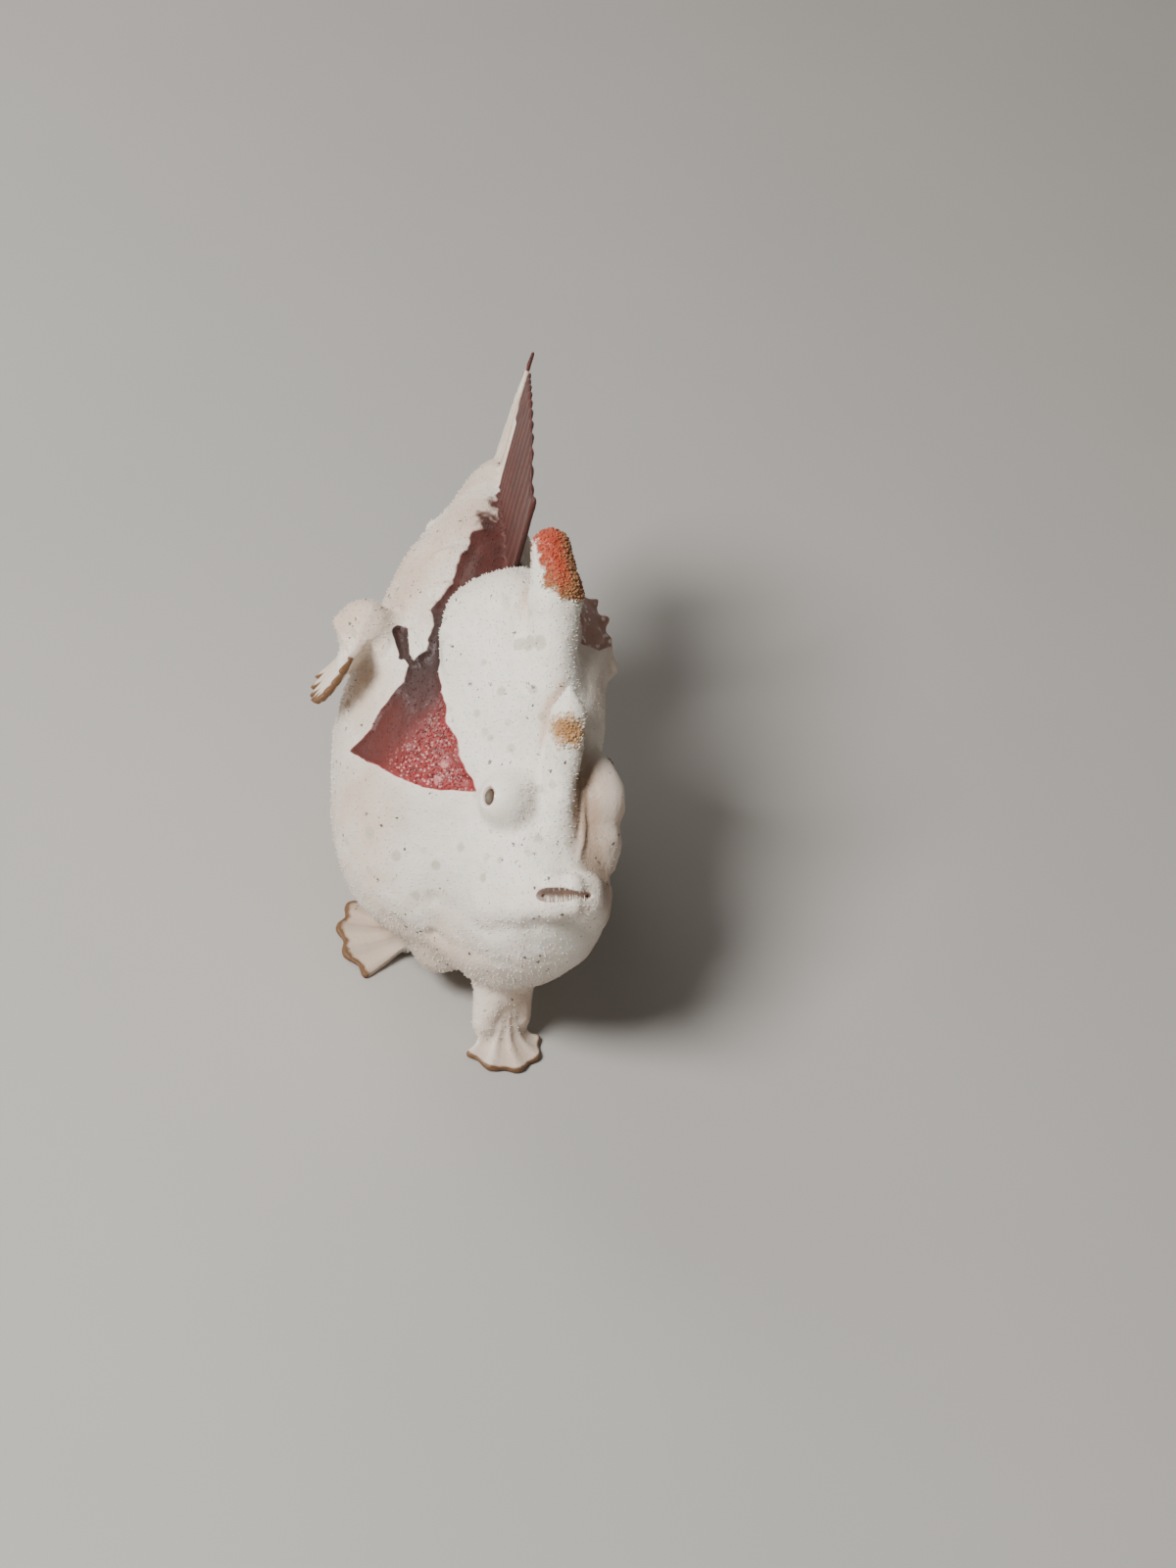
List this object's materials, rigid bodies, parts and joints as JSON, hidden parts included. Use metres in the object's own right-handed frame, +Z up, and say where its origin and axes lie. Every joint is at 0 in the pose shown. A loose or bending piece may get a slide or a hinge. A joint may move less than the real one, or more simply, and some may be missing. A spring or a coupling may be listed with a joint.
{
  "type": "frogfish",
  "caption": "Still life-size model of a juvenile warty frogfish, cream with a crimson saddle, standing on its limb-like fins.",
  "frame": {"origin": "on the ground, under the centre of the whole box", "axes": "+X to the fish's left, +Y towards its tail, +Z up; the fish faces -Y"},
  "size_m": [0.0248, 0.041, 0.0274],
  "materials": {
    "skin": "soft matt living skin, cream with grey spots, dark specks and a crimson saddle",
    "fin": "matt fin skin over raised rays, some with amber edges",
    "orange_patch": "granular orange skin at the tip of a cream spine",
    "eye": "wet glossy eye with a dark brown pupil"
  },
  "bodies": {
    "root": {"head": "skin", "lower_jaw": "skin", "torso": "skin", "tail_base": "skin", "eye_left": "eye", "eye_right": "eye", "second_dorsal_spine": "skin", "third_dorsal_spine": "orange_patch", "illicium": "fin", "esca": "fin", "dorsal_fin": "fin", "anal_fin": "fin", "caudal_fin": "fin", "pectoral_arm_right": "skin", "pectoral_fin_right": "fin", "pectoral_arm_left": "skin", "pectoral_fin_left": "fin", "pelvic_arm_left": "skin", "pelvic_fin_left": "fin", "pelvic_arm_right": "skin", "pelvic_fin_right": "fin"}
  },
  "joints": []
}
